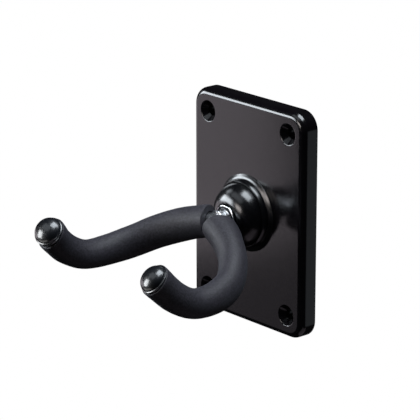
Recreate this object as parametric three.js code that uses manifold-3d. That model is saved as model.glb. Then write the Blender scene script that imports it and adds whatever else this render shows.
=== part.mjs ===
// Wall guitar hanger: a moulded wall plate, a domed boss that holds a swivel, and a bent
// steel yoke in two foam sleeves that cradles a guitar's head behind its nut.
//
// Frame, in millimetres: the origin is the centre of the plate's back face, which lies flat
// against the wall in the plane y = 0. +Z is up, +X is to the right of someone facing the
// wall, and the hanger stands out from the wall along -Y. Many pieces turn about one line,
// the swivel axis along Y, so their profiles are given as [radius, out], where "out" is the
// distance from the wall (out = -y).

import * as THREE from "three";
import { mergeVertices } from "three/addons/utils/BufferGeometryUtils.js";
import Module from "manifold-3d";

const wasm = await Module();
wasm.setup();

// ---------------------------------------------------------------- driving dimensions

// Wall plate.
const PLATE_W = 77;
const PLATE_H = 110;
const PLATE_T = 9.3;
const PLATE_CORNER_R = 8.8;
const PLATE_FRONT_ROUND = 3.3;
const PLATE_BACK_ROUND = 0.8;
const PLATE_RIM = 3;
const PLATE_SKIN = 3.1;
const RIB_T = 2.4;
const HUB_R = 18;

// Wall screw holes, one in each corner of the plate.
const HOLE_INSET_X = 10.7;
const HOLE_INSET_Z = 10.9;
const HOLE_R = 2.6;
const COUNTERSINK_R = 5.1;
const COUNTERSINK_DEPTH = 2.7;
const HOLE_PILLAR_R = 8.2;

// Boss on the front of the plate: a thin sloping flange, a round bead on it, and a dome.
const FLANGE_R = 18.8;
const FLANGE_EDGE = 0.35;
const FLANGE_RISE = 1.35;
const BEAD_R = 16.7;
const BEAD_HALF_R = 1.9;
const BEAD_HALF_OUT = 3.4;
const DOME_CENTRE = [5.5, 12.7];
const DOME_ARC_R = 9.7;
const LIP_R = 6.9;
const BUSH_BORE_R = 5.8;
const RING_R = 6.4;
const RING_SEAT = 18.6;
const RING_OUT = 23.3;
const NUT_ROOM_R = 8.4;
const NUT_ROOM_OUT = 13.5;
const WEB_T = 1.2;

// Screws that hold the boss, driven from behind the plate.
const BOSS_SCREWS = 4;
const BOSS_SCREW_CIRCLE_R = 12.7;
const BOSS_SCREW_R = 1.45;
const BOSS_SCREW_HEAD_R = 2.8;
const BOSS_SCREW_HEAD_T = 2;
const BOSS_SCREW_SEAT = 3.4;
const BOSS_SCREW_END = 14;

// Swivel stud and the bent rod welded across its end.
const STUD_R = 4;
const STUD_START = 5.6;
const SHOULDER_R = 4.8;
const WELD_R = 4.9;
const ROD_R = 4;
const ROD_OUT = 30.7;
const CUT_GAP = 0.3;
const RUNNING_GAP = 0.25;

// Washers, spring and nut behind the boss, each as its thickness or radius.
const WASHER_BORE_R = STUD_R + RUNNING_GAP;
const WASHER_R = 7.8;
const FRICTION_WASHER_T = 0.9;
const STEEL_WASHER_T = 1.2;
const SPRING_R = 7;
const SPRING_T = 0.7;
const SPRING_LEAN = 0.25;
const NUT_T = 4.2;
const NUT_ACROSS_FLATS = 13;
const NUT_COLLAR_R = 6;
const NUT_COLLAR_T = 1.3;
const INSERT_R = 4.9;
const BEARING_GAP = 0.1;

// Foam sleeves. Each is squeezed aside round the stud, and its cut ends lean, because the
// foam on the inside of the rod's bends is pushed out past the foam on the outside. A lean
// is how far the cut runs along the rod for each millimetre across it: towards the front and
// the top at the root, towards the other arm and the top at the tip.
const SLEEVE_BORE_R = 4.3;
const SLEEVE_EDGE = 0.5;
const LEAN_REACH = 18;
const STUD_CLEARANCE_R = 5.3;
const LEFT_SLEEVE = {
  side: -1,
  startX: 2.2,
  rootLean: [0.2, 0.08],
  tipLean: [0.22, 0.17],
  capProud: 2.6,
};
const RIGHT_SLEEVE = {
  side: 1,
  startX: 5.9,
  rootLean: [0.38, 0.06],
  tipLean: [0.06, 0.1],
  capProud: 0.6,
};

// End caps: a tapered collar that plugs the foam, with a dome on it.
const COLLAR_TOP_R = 7.1;
const COLLAR_FOOT_R = 6.4;
const COLLAR_L = 5;
const COLLAR_GAP = 0.25;
const CAP_DOME_R = 6.9;
const CAP_DOME_L = 4.4;
const SOCKET_FOOT_R = 4.8;

// Foam thickness from the root (0) to the tip (1), as [share, half width, half height]. Bending
// draws the foam oval near the root, and the cap's collar swells it at the tip.
const FOAM_SECTIONS = [
  [0, 7.7, 7.8],
  [0.22, 6.7, 8.1],
  [0.45, 6.6, 7.8],
  [0.7, 7.1, 6.9],
  [0.9, 6.6, 7.2],
  [1, 7.65, 7.55],
];

// The yoke hangs turned by this much about the swivel axis, its right arm lower.
const YOKE_TURN = THREE.MathUtils.degToRad(2.5);

// Half of the bent rod, from the swivel axis to the rod's end, as [right, out, up]. The rod
// leaves the stud outwards, turns forward, dips to cradle the neck and rises to the tip.
const ARM_BENDS = [
  [0, ROD_OUT, 0],
  [8.4, 32.4, -2.2],
  [17, 35.6, -5.4],
  [27.3, 41.6, -10.6],
  [35.2, 51.2, -16],
  [38.8, 62.9, -18.5],
  [39.5, 75.8, -18],
  [39.7, 87.3, -12.1],
  [37.3, 97.1, -2.5],
  [37, 98.5, -1.2],
];
const SLEEVE_END_OUT = 97.1;

// ---------------------------------------------------------------- materials

const plastic = new THREE.MeshStandardMaterial({ color: 0x3c393c, roughness: 0.5 });
const glossPaint = new THREE.MeshStandardMaterial({ color: 0x0b0b0c, roughness: 0.12 });
const foam = new THREE.MeshStandardMaterial({ color: 0x1d1c1f, roughness: 0.85 });
const glossCap = new THREE.MeshStandardMaterial({ color: 0x0a0b0d, roughness: 0.12 });
const nylon = new THREE.MeshStandardMaterial({ color: 0x18181a, roughness: 0.55 });
const naturalNylon = new THREE.MeshStandardMaterial({ color: 0xd9d6c8, roughness: 0.5 });
const chrome = new THREE.MeshStandardMaterial({ color: 0xc8cacc, roughness: 0.12, metalness: 1 });
const zincSteel = new THREE.MeshStandardMaterial({ color: 0x9a9c9e, roughness: 0.35, metalness: 1 });
const springSteel = new THREE.MeshStandardMaterial({ color: 0x55565a, roughness: 0.4, metalness: 1 });

// ---------------------------------------------------------------- geometry helpers

// Surface through a list of equal-sized rings of points. Open lofts get a flat fan at each
// end; a wrapped loft joins its last ring to its first, as a tube wall does.
function loft(rings, wrapped = false) {
  const size = rings[0].length;
  const points = rings.flat().flatMap((p) => [p.x, p.y, p.z]);
  const faces = [];
  const bands = wrapped ? rings.length : rings.length - 1;
  for (let band = 0; band < bands; band += 1) {
    const here = band * size;
    const next = ((band + 1) % rings.length) * size;
    for (let i = 0; i < size; i += 1) {
      const j = (i + 1) % size;
      faces.push(here + i, here + j, next + j);
      faces.push(here + i, next + j, next + i);
    }
  }
  if (!wrapped) {
    const last = (rings.length - 1) * size;
    for (let i = 1; i < size - 1; i += 1) {
      faces.push(0, i + 1, i);
      faces.push(last, last + i, last + i + 1);
    }
  }
  const geometry = new THREE.BufferGeometry();
  geometry.setAttribute("position", new THREE.Float32BufferAttribute(points, 3));
  geometry.setIndex(faces);
  return facingOut(geometry);
}

// Signed volume of a closed mesh: negative when its faces point inwards.
function signedVolume(geometry) {
  const at = geometry.attributes.position;
  const a = new THREE.Vector3();
  const b = new THREE.Vector3();
  const c = new THREE.Vector3();
  let volume = 0;
  for (let i = 0; i < geometry.index.count; i += 3) {
    a.fromBufferAttribute(at, geometry.index.getX(i));
    b.fromBufferAttribute(at, geometry.index.getX(i + 1));
    c.fromBufferAttribute(at, geometry.index.getX(i + 2));
    volume += a.dot(b.cross(c)) / 6;
  }
  return volume;
}

// The same mesh with every face turned outwards and flat normals.
function facingOut(geometry) {
  if (signedVolume(geometry) < 0) {
    const index = geometry.index.array;
    for (let i = 0; i < index.length; i += 3) {
      [index[i + 1], index[i + 2]] = [index[i + 2], index[i + 1]];
    }
  }
  const flat = geometry.toNonIndexed();
  flat.computeVertexNormals();
  return flat;
}

// Solid of revolution about the swivel axis from a profile of [radius, out] points that
// starts and ends on the axis, or goes once round a closed loop.
function turned(profile, segments) {
  const first = profile[0];
  const last = profile.at(-1);
  const closed = first[0] > 0 && (first[0] !== last[0] || first[1] !== last[1]);
  const outline = closed ? [...profile, first] : profile;
  const points = outline.map(([radius, out]) => new THREE.Vector2(radius, -out));
  const lathe = new THREE.LatheGeometry(points, segments);
  lathe.deleteAttribute("normal");
  lathe.deleteAttribute("uv");
  return facingOut(mergeVertices(lathe, 1e-4));
}

// Flat ring between two radii and two distances from the wall, with its outer edges broken.
function ring(innerR, outerR, near, far, edge, segments) {
  return turned(
    [
      [innerR, near],
      [outerR - edge, near],
      [outerR, near + edge],
      [outerR, far - edge],
      [outerR - edge, far],
      [innerR, far],
    ],
    segments,
  );
}

// Plain cylinder along the swivel direction, centred at (x, z).
function peg(radius, near, far, segments, x = 0, z = 0) {
  return turned([[0, near], [radius, near], [radius, far], [0, far]], segments).translate(x, 0, z);
}

// Points of an elliptical arc in a profile, from one angle to another in degrees.
function arc(centre, halfR, halfOut, from, to, steps) {
  const points = [];
  for (let i = 0; i <= steps; i += 1) {
    const angle = THREE.MathUtils.degToRad(from + ((to - from) * i) / steps);
    points.push([centre[0] + halfR * Math.cos(angle), centre[1] + halfOut * Math.sin(angle)]);
  }
  return points;
}

function toSolid(geometry) {
  const bare = geometry.clone();
  bare.deleteAttribute("normal");
  bare.deleteAttribute("uv");
  const merged = mergeVertices(bare, 1e-4);
  return new wasm.Manifold(
    new wasm.Mesh({
      numProp: 3,
      vertProperties: merged.attributes.position.array,
      triVerts: new Uint32Array(merged.index.array),
    }),
  );
}

function toGeometry(solid) {
  const mesh = solid.getMesh();
  const geometry = new THREE.BufferGeometry();
  geometry.setAttribute("position", new THREE.BufferAttribute(mesh.vertProperties, 3));
  geometry.setIndex(new THREE.BufferAttribute(mesh.triVerts, 1));
  return facingOut(geometry);
}

function cut(geometry, tools) {
  let solid = toSolid(geometry);
  for (const tool of tools) solid = solid.subtract(toSolid(tool));
  return toGeometry(solid);
}

function named(name, geometry, material) {
  const mesh = new THREE.Mesh(geometry, material);
  mesh.name = name;
  return mesh;
}

// ---------------------------------------------------------------- wall plate

const CORNER_STEPS = 6;

// Rounded rectangle in the plane "out" from the wall, counter-clockwise as seen by someone
// facing the wall.
function plateRing(inset, out) {
  const radius = PLATE_CORNER_R - inset;
  const centreX = PLATE_W / 2 - PLATE_CORNER_R;
  const centreZ = PLATE_H / 2 - PLATE_CORNER_R;
  const corners = [[1, 1], [-1, 1], [-1, -1], [1, -1]];
  const points = [];
  corners.forEach(([sideX, sideZ], corner) => {
    for (let i = 0; i <= CORNER_STEPS; i += 1) {
      const angle = ((corner + i / CORNER_STEPS) * Math.PI) / 2;
      const x = sideX * centreX + radius * Math.cos(angle);
      const z = sideZ * centreZ + radius * Math.sin(angle);
      points.push(new THREE.Vector3(x, -out, z));
    }
  });
  return points;
}

// Rings for one rounded edge of the plate: "towards" is 1 for the front edge, -1 for the back.
function plateEdge(round, faceOut, towards, steps) {
  const rings = [];
  for (let i = 0; i <= steps; i += 1) {
    const angle = (i / steps) * (Math.PI / 2);
    const inset = round * (1 - Math.cos(angle));
    rings.push(plateRing(inset, faceOut - towards * round * (1 - Math.sin(angle))));
  }
  return rings;
}

const holePlaces = [[1, 1], [-1, 1], [-1, -1], [1, -1]].map(([sideX, sideZ]) => [
  sideX * (PLATE_W / 2 - HOLE_INSET_X),
  sideZ * (PLATE_H / 2 - HOLE_INSET_Z),
]);

const bossScrewPlaces = Array.from({ length: BOSS_SCREWS }, (_, i) => {
  const angle = ((i + 0.5) / BOSS_SCREWS) * Math.PI * 2;
  return [BOSS_SCREW_CIRCLE_R * Math.cos(angle), BOSS_SCREW_CIRCLE_R * Math.sin(angle)];
});

// Bar through the plate's centre, along the line towards (x, z), that leaves a rib standing.
function rib(x, z) {
  const bar = new THREE.BoxGeometry(2 * PLATE_H, 4 * PLATE_T, RIB_T);
  return bar.rotateY(-Math.atan2(z, x));
}

// Hollow behind the plate: its inside outline less the hub, the screw pillars and the ribs.
function plateCavity() {
  const depth = PLATE_T - PLATE_SKIN;
  const below = -1;
  let hollow = toSolid(loft([plateRing(PLATE_RIM, below), plateRing(PLATE_RIM, depth)]));
  const kept = [peg(HUB_R, below - 1, depth + 1, 40)];
  for (const [x, z] of holePlaces) kept.push(peg(HOLE_PILLAR_R, below - 1, depth + 1, 24, x, z));
  for (const [x, z] of [[1, 0], [0, 1], holePlaces[0], holePlaces[1]]) kept.push(rib(x, z));
  for (const keep of kept) hollow = hollow.subtract(toSolid(keep));
  return toGeometry(hollow);
}

function backPlateGeometry() {
  const board = loft([
    ...plateEdge(PLATE_BACK_ROUND, 0, -1, 2).reverse(),
    ...plateEdge(PLATE_FRONT_ROUND, PLATE_T, 1, 4),
  ]);
  const tools = [plateCavity()];
  for (const [x, z] of holePlaces) {
    const countersink = turned(
      [
        [0, PLATE_T - COUNTERSINK_DEPTH],
        [HOLE_R, PLATE_T - COUNTERSINK_DEPTH],
        [COUNTERSINK_R, PLATE_T],
        [COUNTERSINK_R, PLATE_T + 1],
        [0, PLATE_T + 1],
      ],
      24,
    );
    tools.push(countersink.translate(x, 0, z), peg(HOLE_R, -1, PLATE_T + 1, 16, x, z));
  }
  tools.push(peg(NUT_ROOM_R, STUD_START - 0.6, PLATE_T + 1, 32));
  for (const [x, z] of bossScrewPlaces) {
    tools.push(peg(BOSS_SCREW_HEAD_R + CUT_GAP, -1, BOSS_SCREW_SEAT, 18, x, z));
    tools.push(peg(BOSS_SCREW_R + CUT_GAP, -1, PLATE_T + 1, 14, x, z));
  }
  return cut(board, tools);
}

// ---------------------------------------------------------------- boss and its bearings

const WEB_FAR = NUT_ROOM_OUT + WEB_T;

function bossCollarGeometry() {
  const flangeTop = PLATE_T + FLANGE_RISE;
  const profile = [
    [NUT_ROOM_R, PLATE_T],
    [FLANGE_R, PLATE_T],
    [FLANGE_R, PLATE_T + FLANGE_EDGE],
    [BEAD_R + 0.95, flangeTop - 0.35],
    [BEAD_R + 0.1, flangeTop],
    ...arc([BEAD_R - BEAD_HALF_R, flangeTop], BEAD_HALF_R, BEAD_HALF_OUT, 2, 84, 6),
    ...arc(DOME_CENTRE, DOME_ARC_R, DOME_ARC_R, 10, 80, 9),
    [LIP_R, DOME_CENTRE[1] + DOME_ARC_R - 0.3],
    [LIP_R, RING_SEAT],
    [BUSH_BORE_R, RING_SEAT],
    [BUSH_BORE_R, WEB_FAR],
    [STUD_R + 0.5, WEB_FAR],
    [STUD_R + 0.5, NUT_ROOM_OUT],
    [NUT_ROOM_R, NUT_ROOM_OUT],
  ];
  const threads = bossScrewPlaces.map(([x, z]) =>
    peg(BOSS_SCREW_R + CUT_GAP, PLATE_T - 1, BOSS_SCREW_END + 0.5, 14, x, z),
  );
  return cut(turned(profile, 44), threads);
}

function bossScrewGeometry() {
  const headTop = BOSS_SCREW_SEAT - 0.05;
  const head = turned(
    [
      [0, headTop - BOSS_SCREW_HEAD_T],
      [BOSS_SCREW_HEAD_R - 0.8, headTop - BOSS_SCREW_HEAD_T],
      [BOSS_SCREW_HEAD_R, headTop - BOSS_SCREW_HEAD_T + 0.8],
      [BOSS_SCREW_HEAD_R, headTop],
      [BOSS_SCREW_R, headTop],
      [BOSS_SCREW_R, BOSS_SCREW_END - 1],
      [0, BOSS_SCREW_END],
    ],
    16,
  );
  const slots = [[3.4, 0.9], [0.9, 3.4]].map(([width, height]) =>
    new THREE.BoxGeometry(width, 2, height).translate(0, -(headTop - BOSS_SCREW_HEAD_T), 0),
  );
  return cut(head, slots);
}

function chromeRingGeometry() {
  const near = RING_SEAT + 0.1;
  const round = arc([RING_R - 0.35, RING_OUT - 0.35], 0.35, 0.35, 0, 90, 3);
  const bore = RING_R - 0.8;
  return turned([[bore, near], [RING_R, near], ...round, [bore, RING_OUT]], 36);
}

// ---------------------------------------------------------------- yoke

function armPoint(bend) {
  return new THREE.Vector3(bend[0], -bend[1], bend[2]);
}

// The whole rod's centreline, from the left tip through the stud to the right tip.
const rodPath = new THREE.CatmullRomCurve3([
  ...ARM_BENDS.slice(1).reverse().map(([right, out, up]) => armPoint([-right, out, up])),
  ...ARM_BENDS.map(armPoint),
], false, "centripetal");

// Where along the rod, from 0 to 1, its right half first passes a condition.
function placeAlongRod(passes) {
  const steps = 2000;
  for (let i = steps / 2; i <= steps; i += 1) {
    if (passes(rodPath.getPointAt(i / steps))) return i / steps;
  }
  return 1;
}

const SLEEVE_END = placeAlongRod((point) => -point.y >= SLEEVE_END_OUT);

// Directions at a place on the rod. "sideways" is level with the ground, so that rings along
// the rod don't twist. It points to the front at the roots and to the other arm at the tips.
function rodFrame(place) {
  const centre = rodPath.getPointAt(place);
  const along = rodPath.getTangentAt(place);
  const sideways = new THREE.Vector3().crossVectors(along, new THREE.Vector3(0, 0, 1)).normalize();
  const upwards = new THREE.Vector3().crossVectors(sideways, along);
  return { centre, along, sideways, upwards };
}

// Ellipse of points in a rod frame. "lean" moves each point along the rod in proportion to its
// distance across it.
function ellipse({ centre, along, sideways, upwards }, sides, halfWidth, halfHeight, lean = [0, 0]) {
  return Array.from({ length: sides }, (_, i) => {
    const angle = (i / sides) * Math.PI * 2;
    const across = halfWidth * Math.cos(angle);
    const up = halfHeight * Math.sin(angle);
    return centre
      .clone()
      .addScaledVector(sideways, across)
      .addScaledVector(upwards, up)
      .addScaledVector(along, across * lean[0] + up * lean[1]);
  });
}

function rodGeometry(radius, sides) {
  const steps = 40;
  const endBreak = 0.004;
  const circle = (place, r) => ellipse(rodFrame(place), sides, r, r);
  const rings = [circle(0, radius - 0.5)];
  for (let i = 0; i <= steps; i += 1) {
    rings.push(circle(endBreak + (1 - 2 * endBreak) * (i / steps), radius));
  }
  rings.push(circle(1, radius - 0.5));
  return loft(rings);
}

// Half width and half height of the foam at a share of its length, eased between sections.
function foamSection(share) {
  const after = Math.max(1, FOAM_SECTIONS.findIndex(([at]) => at >= share));
  const [fromShare, fromWidth, fromHeight] = FOAM_SECTIONS[after - 1];
  const [toShare, toWidth, toHeight] = FOAM_SECTIONS[after];
  const ease = THREE.MathUtils.smoothstep(share, fromShare, toShare);
  return [
    THREE.MathUtils.lerp(fromWidth, toWidth, ease),
    THREE.MathUtils.lerp(fromHeight, toHeight, ease),
  ];
}

// One foam tube, from its root beside the stud to its tip. Its bore widens at the tip into a
// tapered mouth that takes the end cap's collar, and its root is cut away round the stud.
function sleeveGeometry({ side, startX, rootLean, tipLean, capProud }) {
  const sides = 18;
  const steps = 24;
  const start = placeAlongRod((point) => point.x >= startX);
  const length = (SLEEVE_END - start) * rodPath.getLength();
  const placeAt = (distance) => {
    const place = start + ((SLEEVE_END - start) * distance) / length;
    return side > 0 ? place : 1 - place;
  };
  const leanAt = (distance) => {
    const root = THREE.MathUtils.smoothstep(LEAN_REACH - distance, 0, LEAN_REACH);
    const tip = THREE.MathUtils.smoothstep(LEAN_REACH - (length - distance), 0, LEAN_REACH);
    return [0, 1].map((i) => side * (tip * tipLean[i] - root * rootLean[i]));
  };
  const outerRing = (distance, thinner) => {
    const [halfWidth, halfHeight] = foamSection(distance / length);
    const frame = rodFrame(placeAt(distance));
    return ellipse(frame, sides, halfWidth - thinner, halfHeight - thinner, leanAt(distance));
  };
  const rings = [outerRing(0, SLEEVE_EDGE)];
  for (let i = 0; i <= steps; i += 1) {
    rings.push(outerRing(SLEEVE_EDGE + (length - 2 * SLEEVE_EDGE) * (i / steps), 0));
  }

  const taper = (COLLAR_TOP_R - COLLAR_FOOT_R) / COLLAR_L;
  const mouthR = COLLAR_TOP_R - taper * capProud + COLLAR_GAP;
  const mouthFootR = COLLAR_FOOT_R + COLLAR_GAP;
  const mouthDepth = COLLAR_L - capProud + CUT_GAP;
  const tip = rodFrame(placeAt(length));
  const foot = tip.centre.clone().addScaledVector(tip.along, -side * mouthDepth);
  const offset = taper * mouthR;
  tip.centre.addScaledVector(tip.sideways, offset * tipLean[0]);
  tip.centre.addScaledVector(tip.upwards, offset * tipLean[1]);
  rings.push(ellipse(tip, sides, mouthR, mouthR, leanAt(length)));
  rings.push(ellipse({ ...tip, centre: foot }, sides, mouthFootR, mouthFootR));

  const boreEnd = length - mouthDepth;
  for (let i = steps; i >= 0; i -= 1) {
    const distance = boreEnd * (i / steps);
    const lean = distance < LEAN_REACH ? leanAt(distance) : undefined;
    rings.push(ellipse(rodFrame(placeAt(distance)), sides, SLEEVE_BORE_R, SLEEVE_BORE_R, lean));
  }
  return cut(loft(rings, true), [peg(STUD_CLEARANCE_R, RING_OUT - 3, ROD_OUT, 32)]);
}

// Domed cap that plugs a sleeve's mouth and sockets over the rod's end. The foam leaves its
// collar standing proud by "capProud".
function capMesh(name, { side, capProud }) {
  const socketR = ROD_R + CUT_GAP;
  const geometry = turned(
    [
      [SOCKET_FOOT_R, -COLLAR_L],
      [COLLAR_FOOT_R - 0.3, -COLLAR_L],
      [COLLAR_FOOT_R, 0.3 - COLLAR_L],
      [COLLAR_TOP_R, -0.2],
      [COLLAR_TOP_R - 0.15, 0],
      ...arc([0, 0], CAP_DOME_R, CAP_DOME_L, 3, 90, 7),
      [0, CAP_DOME_L - 1.2],
      [socketR, CAP_DOME_L - 2.8],
      [socketR, -1],
      [SOCKET_FOOT_R, -COLLAR_L],
    ],
    24,
  );
  const cap = named(name, geometry, glossCap);
  const { centre, along } = rodFrame(side > 0 ? SLEEVE_END : 1 - SLEEVE_END);
  const outwards = along.multiplyScalar(side);
  cap.position.copy(centre).addScaledVector(outwards, capProud);
  cap.quaternion.setFromUnitVectors(new THREE.Vector3(0, -1, 0), outwards);
  return cap;
}

function studGeometry() {
  const blank = turned(
    [
      [0, STUD_START],
      [STUD_R - 0.6, STUD_START],
      [STUD_R, STUD_START + 0.6],
      [STUD_R, RING_OUT],
      [SHOULDER_R, RING_OUT],
      [SHOULDER_R, RING_OUT + 0.8],
      [STUD_R, RING_OUT + 1.6],
      [STUD_R, ROD_OUT],
      [0, ROD_OUT],
    ],
    24,
  );
  return cut(blank, [rodGeometry(ROD_R + CUT_GAP, 14)]);
}

function weldGeometry() {
  const far = ROD_OUT - ROD_R;
  const bead = turned(
    [
      [STUD_R + 0.1, far - 1.3],
      [STUD_R + 0.3, far - 1.3],
      [WELD_R, far - 0.5],
      [WELD_R, far + 0.5],
      [STUD_R + 0.1, far + 1.4],
    ],
    24,
  );
  return cut(bead, [rodGeometry(ROD_R + 0.1, 14)]);
}

// Thin hexagon nut with a round collar that holds its locking insert.
function nutGeometry(near, far) {
  const cornerR = NUT_ACROSS_FLATS / 2 / Math.cos(Math.PI / 6);
  const collarFar = near + NUT_COLLAR_T;
  const hexagon = turned(
    [[0, collarFar], [cornerR, collarFar], [cornerR, far], [0, far]],
    6,
  );
  const collar = peg(NUT_COLLAR_R, near, collarFar + 0.5, 24);
  const whole = toGeometry(toSolid(hexagon).add(toSolid(collar)));
  const thread = peg(STUD_R + BEARING_GAP, near - 1, far + 1, 18);
  const insertSeat = peg(INSERT_R + BEARING_GAP, near - 1, collarFar, 24);
  return cut(whole, [thread, insertSeat]);
}

// ---------------------------------------------------------------- assembly

const base = new THREE.Group();
base.add(named("back_plate", backPlateGeometry(), plastic));
base.add(named("boss_collar", bossCollarGeometry(), glossPaint));
bossScrewPlaces.forEach(([x, z], i) => {
  const screw = named(`boss_screw_${i + 1}`, bossScrewGeometry(), zincSteel);
  screw.position.set(x, 0, z);
  base.add(screw);
});
base.add(named("chrome_ring", chromeRingGeometry(), chrome));
const bushNear = WEB_FAR + BEARING_GAP;
const bushFar = RING_OUT - 0.3;
base.add(named("swivel_bush", ring(STUD_R + RUNNING_GAP, 5.5, bushNear, bushFar, 0.2, 28), nylon));

// Washers and nut, from the boss's inner web back towards the wall.
const frictionFar = NUT_ROOM_OUT - BEARING_GAP;
const frictionNear = frictionFar - FRICTION_WASHER_T;
const washerFar = frictionNear - RUNNING_GAP;
const washerNear = washerFar - STEEL_WASHER_T;
const springFar = washerNear - BEARING_GAP;
const springNear = springFar - SPRING_T;
const nutFar = springNear - BEARING_GAP;
const nutNear = nutFar - NUT_T;
const frictionWasher = ring(WASHER_BORE_R, WASHER_R, frictionNear, frictionFar, 0.15, 28);
base.add(named("friction_washer", frictionWasher, naturalNylon));

const yoke = new THREE.Group();
yoke.rotation.y = YOKE_TURN;
yoke.add(named("swivel_stud", studGeometry(), zincSteel));
yoke.add(named("yoke_rod", rodGeometry(ROD_R, 14), zincSteel));
yoke.add(named("weld_bead", weldGeometry(), zincSteel));
yoke.add(named("foam_sleeve_left", sleeveGeometry(LEFT_SLEEVE), foam));
yoke.add(named("foam_sleeve_right", sleeveGeometry(RIGHT_SLEEVE), foam));
yoke.add(capMesh("end_cap_left", LEFT_SLEEVE));
yoke.add(capMesh("end_cap_right", RIGHT_SLEEVE));
const steelWasher = ring(WASHER_BORE_R, WASHER_R, washerNear, washerFar, 0.2, 28);
yoke.add(named("steel_washer", steelWasher, zincSteel));
const discSpring = turned(
  [
    [WASHER_BORE_R, springNear],
    [SPRING_R, springNear + SPRING_LEAN],
    [SPRING_R, springFar],
    [WASHER_BORE_R, springFar - SPRING_LEAN],
  ],
  28,
);
yoke.add(named("disc_spring", discSpring, springSteel));
yoke.add(named("lock_nut", nutGeometry(nutNear, nutFar), zincSteel));
const insertFar = nutNear + NUT_COLLAR_T - BEARING_GAP;
const insert = ring(STUD_R + BEARING_GAP, INSERT_R, nutNear + BEARING_GAP, insertFar, 0.1, 24);
yoke.add(named("nut_insert", insert, nylon));

const hanger = new THREE.Group();
hanger.add(base, yoke);

export default hanger;
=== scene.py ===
"""Wall guitar hanger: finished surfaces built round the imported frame.

Lengths are written in millimetres and turned into metres as meshes are made. Profiles of
turned pieces are (radius, out) pairs, where "out" is the distance from the wall (out = -y).
"""

import math

import bmesh
import bpy
from mathutils import Matrix, Vector, noise


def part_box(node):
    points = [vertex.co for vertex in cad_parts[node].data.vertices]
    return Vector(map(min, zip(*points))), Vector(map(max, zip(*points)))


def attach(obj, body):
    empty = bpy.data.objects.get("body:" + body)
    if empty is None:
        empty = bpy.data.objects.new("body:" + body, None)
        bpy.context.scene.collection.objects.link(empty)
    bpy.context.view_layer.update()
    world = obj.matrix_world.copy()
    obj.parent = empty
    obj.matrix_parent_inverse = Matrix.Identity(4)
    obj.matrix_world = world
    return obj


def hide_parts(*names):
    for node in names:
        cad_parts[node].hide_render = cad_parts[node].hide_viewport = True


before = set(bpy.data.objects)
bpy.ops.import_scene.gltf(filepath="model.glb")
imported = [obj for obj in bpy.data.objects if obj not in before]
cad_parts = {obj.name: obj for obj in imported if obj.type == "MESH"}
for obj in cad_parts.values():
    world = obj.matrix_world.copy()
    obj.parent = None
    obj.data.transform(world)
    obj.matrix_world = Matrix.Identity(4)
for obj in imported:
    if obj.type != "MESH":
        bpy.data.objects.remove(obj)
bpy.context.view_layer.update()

MM = 0.001


def size_of(node):
    """Width, depth and height of a CAD node in millimetres."""
    low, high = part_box(node)
    return (high - low) / MM


# ---------------------------------------------------------------- sizes

PLATE_W, PLATE_T, PLATE_H = size_of("back_plate")
PLATE_CORNER_R = 8.8
PLATE_FRONT_ROUND = 3.3
PLATE_BACK_ROUND = 0.8
PLATE_RIM = 3
PLATE_SKIN = 3.1
RIB_T = 2.4
HUB_R = 18
HOLE_INSET_X = 10.7
HOLE_INSET_Z = 10.9
HOLE_X = PLATE_W / 2 - HOLE_INSET_X
HOLE_Z = PLATE_H / 2 - HOLE_INSET_Z
HOLE_R = 2.6
COUNTERSINK_R = 5.1
COUNTERSINK_DEPTH = 2.7
PILLAR_R = 8.2
HOLE_LIP = 0.7
MOULD_EDGE = 0.3

FLANGE_R = size_of("boss_collar").x / 2
FLANGE_EDGE = 0.35
FLANGE_RISE = 1.35
FLANGE_TOP = PLATE_T + FLANGE_RISE
FLANGE_SHOULDER_R = 17.65
FLANGE_SHOULDER_DROP = 0.35
BEAD_R = 16.7
BEAD_HALF_R = 1.9
BEAD_HALF_OUT = 3.4
BEAD_END_DEG = 68
BEAD_END_ROUND = 0.15
VALLEY = (15.3, 12.9)
DOME_CENTRE = (5.5, 12.7)
DOME_ARC_R = 9.7
LIP_R = 6.9
LIP_ROUND = 0.1
BUSH_BORE_R = 5.8
BUSH_R = 5.5
NUT_ROOM_R = 8.4
NUT_ROOM_FLOOR = 5
NUT_ROOM_OUT = 13.5
WEB_T = 1.2
WEB_OUT = NUT_ROOM_OUT + WEB_T

RING_R = size_of("chrome_ring").x / 2
RING_T = 0.8
RING_SEAT = 18.7
RING_OUT = -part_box("chrome_ring")[0].y / MM

BOSS_SCREWS = 4
SCREW_CIRCLE_R = 12.7
SCREW_HEAD_R = 2.8
SCREW_HEAD_T = 2
SCREW_SHANK_R = 1.45
SCREW_SEAT = 3.35
SCREW_POCKET = 3.4
SCREW_CLEARANCE = 0.3
SCREW_END = 14
RECESS_SIZE = (3.3, 1.9, 0.75)

STUD_R = 4
STUD_START = 5.6
STUD_END_DEPTH = 0.5
SHOULDER_R = 4.8
SHOULDER_T = 0.8
ROD_R = 4
ROD_OUT = 30.7
ROD_EDGE = 0.6
RUNNING_GAP = 0.25

YOKE_TURN = Matrix.Rotation(math.radians(2.5), 4, "Y")
# Bends of the right half of the rod: x, distance from the wall, z.
ARM_BENDS = [
    (0, ROD_OUT, 0),
    (8.4, 32.4, -2.2),
    (17, 35.6, -5.4),
    (27.3, 41.6, -10.6),
    (35.2, 51.2, -16),
    (38.8, 62.9, -18.5),
    (39.5, 75.8, -18),
    (39.7, 87.3, -12.1),
    (37.3, 97.1, -2.5),
    (37, 98.5, -1.2),
]
SLEEVE_END_OUT = 97.1
SLEEVE_BORE_R = 4.3
SLEEVE_EDGE = 0.55
LEAN_REACH = 18
STUD_CLEARANCE_R = 5.3
# Share of the foam's length from its root, half width, half height.
FOAM_SECTIONS = [
    (0, 7.7, 7.8),
    (0.22, 6.7, 8.1),
    (0.45, 6.6, 7.8),
    (0.7, 7.1, 6.9),
    (0.9, 6.6, 7.2),
    (1, 7.65, 7.55),
]


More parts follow.
